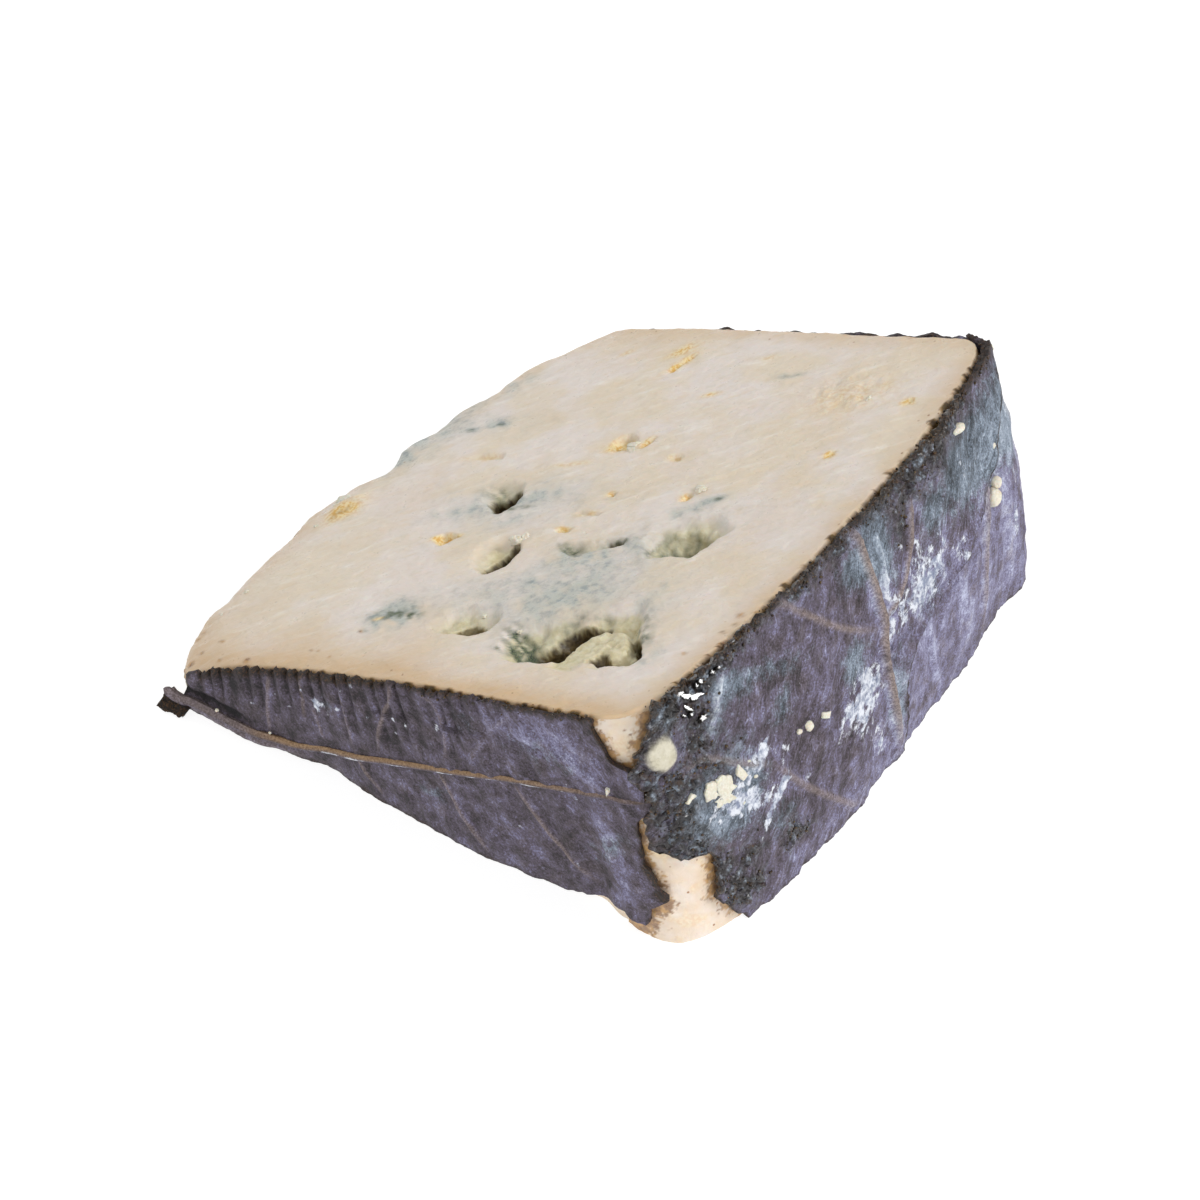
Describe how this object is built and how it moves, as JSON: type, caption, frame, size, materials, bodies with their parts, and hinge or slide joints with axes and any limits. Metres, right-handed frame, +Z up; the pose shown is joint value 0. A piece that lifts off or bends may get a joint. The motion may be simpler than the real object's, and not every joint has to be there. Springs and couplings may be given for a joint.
{
  "type": "blue cheese wedge wrapped in leaves",
  "caption": "Wedge of blue cheese from a leaf-wrapped wheel, lying on one cut face, with mould-lined holes in the upper cut face and leaves round the rind.",
  "frame": {"origin": "centre of the bottom of the bounding box, on the surface that the wedge lies on", "axes": "+Z up, out of the surface that it lies on; +Y along the wheel's axis, from the near flat face to the far one; +X from the thin edge to the rind"},
  "size_m": [0.1066, 0.1048, 0.045],
  "materials": {
    "paste": "moist soft cheese, cream with grey-blue mould",
    "leaf": "dark cured leaf with a pale bloom"
  },
  "bodies": {
    "root": {"paste": "paste", "leaf_near": "leaf", "leaf_rim": "leaf", "leaf_rim_far": "leaf", "leaf_far": "leaf"}
  },
  "joints": []
}
